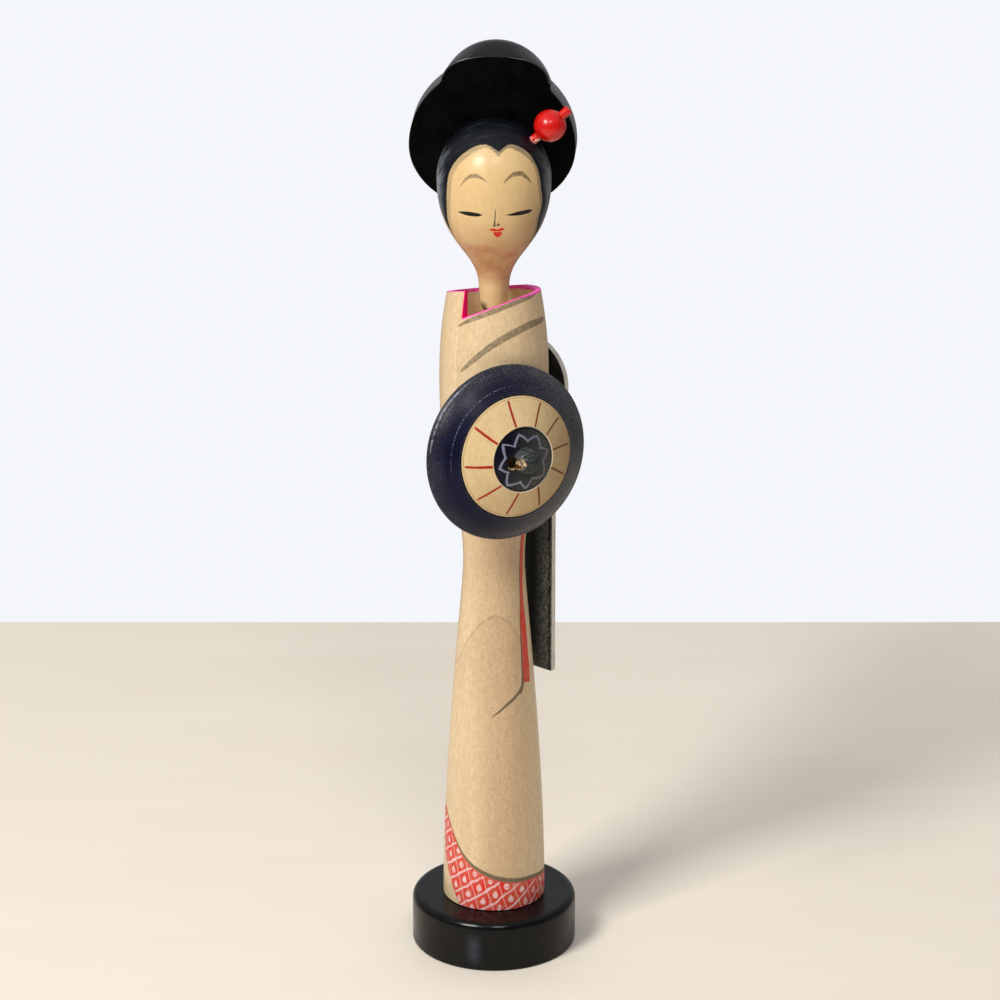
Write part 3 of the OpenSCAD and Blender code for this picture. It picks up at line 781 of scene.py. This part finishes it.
def black_lacquer():
    """The base: deep glossy black with turned rings on its side, and a painted highlight: a paler patch on
    its front side.
    """
    finish, colour, wear = lacquer("Black lacquer", paint(2, 2, 3), paint(7, 7, 8), 0.26, 0.05)
    n = finish.n
    x, y, z = n.split(finish.mm)
    turned = n.noise(n.join(n.times(n.radius(x, y), 1.4), n.times(n.degrees(x, y), 0.01), n.times(z, 1.4)),
            1, 3, 0.6)
    # Painted highlight: a soft pale vertical streak on the front of the base's side
    patch = n.both(n.ramp(n.away(x, -6.5), 3.4, 0, soft=True), n.under(y, -20), n.ramp(z, 1, 5),
            n.ramp(z, 13.5, 10))
    finish.set(Base_Color=n.mix(n.times(patch, n.plus(n.times(turned, 0.3), 0.08)), colour, (92, 98, 116)))
    finish.set(Coat_Weight=0.26, Coat_Roughness=0.13)
    finish.bump(n.minus(turned, n.times(wear["Scratches"], 0.4)), 0.22, 0.06 * MM)
    return finish.material


def hair_lacquer():
    """The carved hair: satin black, brushed along its sweep."""
    finish, colour, wear = lacquer("Hair lacquer", paint(1, 1, 2), paint(4, 4, 5), 0.3, 0.04,
            edge_wear=0.03, rotation=(0, 0, HAIR_TURN))
    n = finish.n
    x, y, z = n.split(finish.mm)
    x = n.minus(x, HAIR_X / MM)
    flat_front = n.under(y, HAIR_FRONT / MM + 0.05)
    arc = n.away(n.radius(x, n.minus(z, WINGS_MID_Z / MM)), WINGS_R / MM)
    under_knot = n.both(n.under(arc, 1.2), n.under(n.away(x, 1), 17), n.over(z, 270), n.under(y, 7.5))
    plain = n.either(flat_front, under_knot)
    finish.set(Coat_Weight=n.blend(plain, 0.6, 0), Coat_Roughness=0.2)
    finish.set(Specular_IOR_Level=n.blend(plain, 0.2, 0.02))
    sweep = n.radius(x, n.minus(z, SWEEP_Z))
    strands = n.noise(n.join(n.times(sweep, 1.1), n.times(n.degrees(x, n.minus(z, SWEEP_Z)), 0.02),
            n.times(y, 0.5)), 1, 3, 0.6)
    finish.set(Base_Color=n.mix(n.both(n.ramp(strands, 0.45, 0.8, 0, 0.35), n.minus(1, plain)), colour,
            (24, 25, 30)))
    finish.bump(n.minus(strands, n.times(wear["Scratches"], 0.5)), 0.22, 0.06 * MM)
    return finish.material


def obi_lacquer():
    """The sash board behind: black lacquer with a speckled, worn face carrying a painted highlight, and a
    rubbed pale edge.
    """
    finish, colour, wear = lacquer("Obi lacquer", paint(2, 2, 3), paint(7, 7, 7), 0.34, 0.12,
            rotation=(0, 0, BODY_TURN))
    n = finish.n
    speckle = n.patches(n.stretch(finish.mm, (1.5, 1.5, 0.9)), 1, 0.4, 0.72, 4, 0.7)
    surface = n.add("NewGeometry")
    turn = n.add("VectorTransform", vector_type="NORMAL", convert_from="WORLD", convert_to="OBJECT")
    n.feed(turn.inputs[0], surface.outputs["Normal"])
    facing = n.add("VectorMath", operation="DOT_PRODUCT")
    n.feed(facing.inputs[0], turn.outputs[0])
    facing.inputs[1].default_value = (math.sin(BODY_TURN), -math.cos(BODY_TURN), 0)
    side = n.ramp(n.size(facing.outputs["Value"]), 0.75, 0.45)
    rubbed = n.patches(n.stretch(finish.mm, (0.5, 0.5, 0.25)), 1, 0.3, 0.55, 4, 0.7)
    x, _, z = n.split(finish.mm)
    # Speckled pale grey towards the right edge and the foot: wear with a painted highlight on it
    worn_side_highlight = n.both(n.ramp(x, 1.5, 8, soft=True), n.ramp(z, 166, 124, 0.12, 1))
    worn_foot_highlight = n.ramp(z, 100, 91, 0, 0.5)
    colour = n.mix(n.both(n.plus(n.times(speckle, 0.6), 0.12), n.either(worn_side_highlight, worn_foot_highlight)), colour,
            (172, 178, 172))
    seam = n.both(n.ramp(n.away(x, 8.6), 0.45, 0.2), n.ramp(rubbed, 0.4, 0.6))
    colour = n.mix(n.times(seam, 0.9), colour, (4, 4, 5))
    colour = n.mix(n.both(side, n.plus(n.times(rubbed, 0.3), 0.7)), colour, (222, 217, 206))
    finish.set(Base_Color=colour, Roughness=n.ramp(speckle, 0, 1, 0.34, 0.52))
    finish.bump(n.minus(speckle, n.times(wear["Scratches"], 0.6)), 0.35, 0.05 * MM)
    return finish.material


def hairpin_red():
    """The hairpin: glossy vermilion, chipped to the wood where it meets the head."""
    finish = Finish("Hairpin red")
    n, mm = finish.n, finish.mm
    wear = n.use(WEAR, Vector=mm, Edge_Width=0.3 * MM, Dust=0.15)
    mottle = n.noise(mm, 0.8, 3)
    colour = n.mix(n.ramp(mottle, 0.3, 0.7), (190, 8, 6), (216, 24, 14))
    colour = n.mix(n.times(wear["Edge"], 0.35), colour, (236, 150, 120))
    z = n.split(mm)[2]
    chip = n.both(n.ramp(z, 272.6, 271.6), n.patches(mm, 1.5, 0.48, 0.58, 3))
    colour = n.mix(n.times(chip, 0.8), colour, (240, 226, 206))
    finish.set(Base_Color=colour, Roughness=n.ramp(wear["Smudge"], 0.3, 0.7, 0.24, 0.36))
    finish.set(Specular_IOR_Level=0.3, Coat_Weight=0.3, Coat_Roughness=0.08)
    finish.bump(n.minus(n.times(mottle, 0.4), n.times(wear["Scratches"], 0.5)), 0.2, 0.05 * MM)
    return finish.material


def dowel_wood():
    """Plain dowels and pegs."""
    finish = Finish("Dowel wood")
    n = finish.n
    x, y, _ = n.split(finish.mm)
    wood = n.use(WOOD, Vector=finish.mm, Rings=n.plus(x, n.times(y, 0.4)), Ring_Step=1.6,
            Ring_Strength=0.45, Pale=paint(226, 200, 156), Brown=paint(160, 118, 76))
    finish.set(Base_Color=wood["Color"], Roughness=n.plus(wood["Roughness"], 0.12))
    finish.bump(wood["Height"], 0.3, 0.05 * MM)
    return finish.material


FINISHES = {
    "black_lacquer": black_lacquer(),
    "kimono_wood": kimono_wood(),
    "dowel_wood": dowel_wood(),
    "hair_black": hair_lacquer(),
    "hairpin_red": hairpin_red(),
    "face_wood": face_wood(),
    "obi_lacquer": obi_lacquer(),
    "umbrella_paint": umbrella_paint(),
}


def dress_cad_nodes():
    """Gives each carried-over piece the finish of its own slot."""
    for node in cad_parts.values():
        for place in node.material_slots:
            place.material = FINISHES[place.material.name.split(".")[0]]


# Pieces made here: the carved hair and the sash board, with eased edges

def put(name, data):
    """An object made from its data and linked into the scene."""
    item = bpy.data.objects.new(name, data)
    bpy.context.scene.collection.objects.link(item)
    return item


def put_mesh(name, parts):
    mesh = bpy.data.meshes.new(name)
    parts.to_mesh(mesh)
    parts.free()
    return put(name, mesh)


def new_piece(name, parts, body, slot):
    """Turns a bmesh into a piece that rides on its body."""
    piece = put_mesh(name, parts)
    piece.data.materials.append(FINISHES[slot])
    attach(piece, body)
    return piece


def board(outline, front, back, turn):
    """A board sawn to an outline of (x, z) points, between two distances behind the axis, then turned."""
    parts = bmesh.new()
    corners = [parts.verts.new((x, front, z)) for x, z in outline]
    face = parts.faces.new(corners)
    grown = bmesh.ops.extrude_face_region(parts, geom=[face])
    moved = [item for item in grown["geom"] if isinstance(item, bmesh.types.BMVert)]
    bmesh.ops.translate(parts, verts=moved, vec=(0, back - front, 0))
    bmesh.ops.recalc_face_normals(parts, faces=parts.faces)
    bmesh.ops.rotate(parts, verts=parts.verts, cent=(0, 0, 0), matrix=Matrix.Rotation(turn, 3, "Z"))
    return parts


def modify(piece, kind, **settings):
    modifier = piece.modifiers.new(kind.title(), kind)
    for name, value in settings.items():
        setattr(modifier, name, value)


def settle(piece):
    """Applies a piece's modifiers, so that the mesh is what it looks like."""
    graph = bpy.context.evaluated_depsgraph_get()
    mesh = bpy.data.meshes.new_from_object(piece.evaluated_get(graph))
    piece.modifiers.clear()
    old, piece.data = piece.data, mesh
    bpy.data.meshes.remove(old)


def smooth(piece):
    """Smooth shading except across sharp edges."""
    for polygon in piece.data.polygons:
        polygon.use_smooth = True
    piece.data.set_sharp_from_angle(angle=SHARP_ANGLE)


def ease_edges(piece):
    modify(piece, "BEVEL", width=EDGE_EASE, segments=3, limit_method="ANGLE", angle_limit=BEVEL_ANGLE)


def cut(piece, *tools):
    """Cuts the tools out of a piece."""
    for tool in tools:
        modify(piece, "BOOLEAN", operation="DIFFERENCE", solver="EXACT", object=tool)
    settle(piece)
    for tool in tools:
        bpy.data.objects.remove(tool)


WINGS_STEPS = 180
EDGE_EASE = 0.35 * MM
BEVEL_ANGLE = math.radians(40)
SHARP_ANGLE = math.radians(35)


def wings_outline(grow=0):
    points = []
    for i in range(WINGS_STEPS):
        a = 2 * math.pi * i / WINGS_STEPS
        tall = WINGS_R if math.sin(a) >= 0 else WINGS_DROP
        points.append((HAIR_X + (WINGS_R + grow) * math.cos(a), WINGS_MID_Z + (tall + grow) * math.sin(a)))
    return points


def make_wings():
    parts = board(wings_outline(), HAIR_FRONT, HAIR_FRONT + WINGS_T, HAIR_TURN)
    piece = new_piece("side_hair", parts, "head", "hair_black")
    ease_edges(piece)
    settle(piece)
    smooth(piece)
    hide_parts("hair_wings")


SEAT_GAP = 0.02 * MM
BUN_STEPS = 96
BUN_ROWS = 64
BUN_TURNS = 128
BUN_LIP = 0.7 * MM


def make_bun():
    """The topknot: a flattened arch in front, swelling to a dome behind."""
    half_w, half_h, foot_z = BUN_FRONT
    parts = bmesh.new()
    for i in range(BUN_STEPS + 1):
        a = math.pi * i / BUN_STEPS
        c, s = math.cos(a), math.sin(a)
        x = BUN_MID.x + half_w * math.copysign(abs(c) ** (2 / BUN_POWER), c)
        z = foot_z + half_h * s ** (2 / BUN_POWER)
        for y, shrink in ((0, BUN_LIP), (0.2 * MM, 0.22 * MM), (BUN_LIP, 0)):
            scale = 1 - shrink / half_w
            parts.verts.new((BUN_MID.x + (x - BUN_MID.x) * scale, HAIR_FRONT + y,
                    foot_z + (z - foot_z) * scale))
    for j in range(BUN_ROWS + 1):
        b = math.pi * j / BUN_ROWS
        for i in range(BUN_TURNS if 0 < j < BUN_ROWS else 1):
            a = 2 * math.pi * i / BUN_TURNS
            direction = Vector((math.sin(b) * math.cos(a), math.cos(b), math.sin(b) * math.sin(a)))
            spot = BUN_MID + Vector(u * v for u, v in zip(BUN_SIZE, direction))
            if spot.y > HAIR_FRONT + BUN_LIP:
                parts.verts.new(spot)
    hull = bmesh.ops.convex_hull(parts, input=parts.verts)
    bmesh.ops.delete(parts, geom=[v for v in hull["geom_interior"] if isinstance(v, bmesh.types.BMVert)],
            context="VERTS")
    bmesh.ops.rotate(parts, verts=parts.verts, cent=(0, 0, 0), matrix=Matrix.Rotation(HAIR_TURN, 3, "Z"))
    bmesh.ops.recalc_face_normals(parts, faces=parts.faces)
    piece = new_piece("topknot", parts, "head", "hair_black")
    seat = board(wings_outline(SEAT_GAP), HAIR_FRONT - 1 * MM, HAIR_FRONT + WINGS_T + SEAT_GAP, HAIR_TURN)
    cut(piece, put_mesh("seat", seat))
    smooth(piece)
    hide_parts("hair_bun")


# The sash board: its round knot, its tail, its waist and its pegs
KNOT_R = 14.4 * MM
KNOT_Z = 187.7 * MM
TAIL_W = 9.6 * MM
TAIL_Z = 90 * MM
TAIL_START_Z = 152 * MM
OBI_WAIST_Z = 166 * MM
OBI_FRONT = 17.2 * MM
OBI_T = 2.1 * MM
PEG_R = 1.5 * MM
OBI_PEG_ZS = (180 * MM, 192 * MM)
WAIST_PULL = 7 * MM
WAIST_STEPS = 24
KNOT_STEPS = 48


def bezier(points, t):
    a, b, c, d = points
    return (1 - t) ** 3 * a + 3 * (1 - t) ** 2 * t * b + 3 * (1 - t) * t * t * c + t ** 3 * d


def obi_outline():
    """Right half of the board from its foot to the top of the knot, then the same mirrored."""
    half = [(TAIL_W, TAIL_Z)]
    heights = (TAIL_START_Z, TAIL_START_Z + WAIST_PULL, OBI_WAIST_Z - WAIST_PULL, OBI_WAIST_Z)
    for i in range(WAIST_STEPS + 1):
        t = i / WAIST_STEPS
        half.append((bezier((TAIL_W, TAIL_W, KNOT_R, KNOT_R), t), bezier(heights, t)))
    half.append((KNOT_R, KNOT_Z))
    for i in range(1, KNOT_STEPS + 1):
        a = math.pi / 2 * i / KNOT_STEPS
        half.append((KNOT_R * math.cos(a), KNOT_Z + KNOT_R * math.sin(a)))
    return half + [(-x, z) for x, z in reversed(half[:-1])]


def make_obi():
    parts = board(obi_outline(), OBI_FRONT, OBI_FRONT + OBI_T, BODY_TURN)
    piece = new_piece("obi_bow_board", parts, "figure", "obi_lacquer")
    ease_edges(piece)
    tools = []
    for z in OBI_PEG_ZS:
        hole = bmesh.new()
        bmesh.ops.create_cone(hole, cap_ends=True, segments=48, radius1=PEG_R, radius2=PEG_R, depth=10 * MM)
        upright = Matrix.Rotation(math.pi / 2, 4, "X")
        stand = Matrix.Rotation(BODY_TURN, 4, "Z") @ Matrix.Translation((0, OBI_FRONT, z)) @ upright
        bmesh.ops.transform(hole, verts=hole.verts, matrix=stand)
        tools.append(put_mesh("peg_hole", hole))
    cut(piece, *tools)
    smooth(piece)
    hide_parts("obi_board")


# Floor, light and camera

TABLE_BACK = 0.255
TABLE_REACH = 2.5
DOLL_MIDDLE = Vector((0, 0, 0.17))
ROOM_TINT = (0.95, 0.97, 1, 1)
ROOM_DIM = 0.11
ROOM_BRIGHT = 0.55
CAMERA_LENS = 180
CAMERA_SHIFT = 0.006
CAMERA_PLACE = (0, -1.45197, 0.73864)
CAMERA_TILT = math.radians(68)

# Soft boxes: azimuth, elevation, distance, size, watts, colour
SOFT_LIGHTS = {
    "window": (-42, 44, 1.5, 0.45, 20, (1, 0.985, 0.96)),
    "front": (8, 50, 1.6, 0.35, 4.4, (1, 1, 1)),
}


def make_table():
    """A plain pale table top that ends a little behind the doll."""
    parts = bmesh.new()
    far = TABLE_REACH
    corners = [(-far, -far, 0), (far, -far, 0), (far, TABLE_BACK, 0), (-far, TABLE_BACK, 0)]
    parts.faces.new([parts.verts.new(c) for c in corners])
    table = put_mesh("table_top", parts)
    material = bpy.data.materials.new("Pale table")
    material.use_nodes = True
    n = Nodes(material.node_tree)
    place = n.add("TexCoord")
    cloud = n.noise(n.stretch(place.outputs["Object"], (6, 40, 6)), 1, 3)
    shader = material.node_tree.nodes["Principled BSDF"]
    n.feed(shader.inputs["Base Color"], n.mix(cloud, (237, 225, 209), (244, 234, 219)))
    shader.inputs["Roughness"].default_value = 0.55
    table.data.materials.append(material)


def soft_light(name, azimuth, elevation, distance, size, watts, colour):
    """A square soft box aimed at the doll's middle."""
    a, e = math.radians(azimuth), math.radians(elevation)
    back = Vector((math.sin(a) * math.cos(e), -math.cos(a) * math.cos(e), math.sin(e)))
    data = bpy.data.lights.new(name, "AREA")
    data.shape = "SQUARE"
    data.size = size
    data.energy = watts
    data.color = colour
    lamp = put(name, data)
    lamp.location = DOLL_MIDDLE + back * distance
    lamp.rotation_mode = "QUATERNION"
    lamp.rotation_quaternion = (-back).to_track_quat("-Z", "Y")


def make_light():
    for name, setting in SOFT_LIGHTS.items():
        soft_light(name, *setting)
    world = bpy.data.worlds.new("Pale room")
    bpy.context.scene.world = world
    world.use_nodes = True
    tree = world.node_tree
    tree.nodes.clear()
    n = Nodes(tree)
    room = n.add("Background")
    room.inputs["Color"].default_value = ROOM_TINT
    place = n.add("TexCoord")
    towards = n.split(place.outputs["Generated"])
    light_side = n.weigh((towards[1], 0.6), (towards[2], 0.8))
    n.feed(room.inputs["Strength"], n.ramp(light_side, 0, 0.9, ROOM_DIM, ROOM_BRIGHT, soft=True))
    wall = n.add("Background")
    wall.inputs["Color"].default_value = paint(244, 246, 251)
    wall.inputs["Strength"].default_value = 1
    path = n.add("LightPath")
    seen = n.add("MixShader")
    n.feed(seen.inputs[0], path.outputs["Is Camera Ray"])
    n.feed(seen.inputs[1], room.outputs[0])
    n.feed(seen.inputs[2], wall.outputs[0])
    out = n.add("OutputWorld")
    n.feed(out.inputs["Surface"], seen.outputs[0])


def make_camera():
    data = bpy.data.cameras.new("camera")
    data.lens = CAMERA_LENS
    data.sensor_width = 36
    data.shift_x = CAMERA_SHIFT
    data.clip_end = 20
    camera = put("camera", data)
    camera.location = CAMERA_PLACE
    camera.rotation_euler = (CAMERA_TILT, 0, 0)
    bpy.context.scene.camera = camera
    bpy.context.scene.view_settings.view_transform = "Standard"


dress_cad_nodes()
make_wings()
make_bun()
make_obi()
make_table()
make_light()
make_camera()
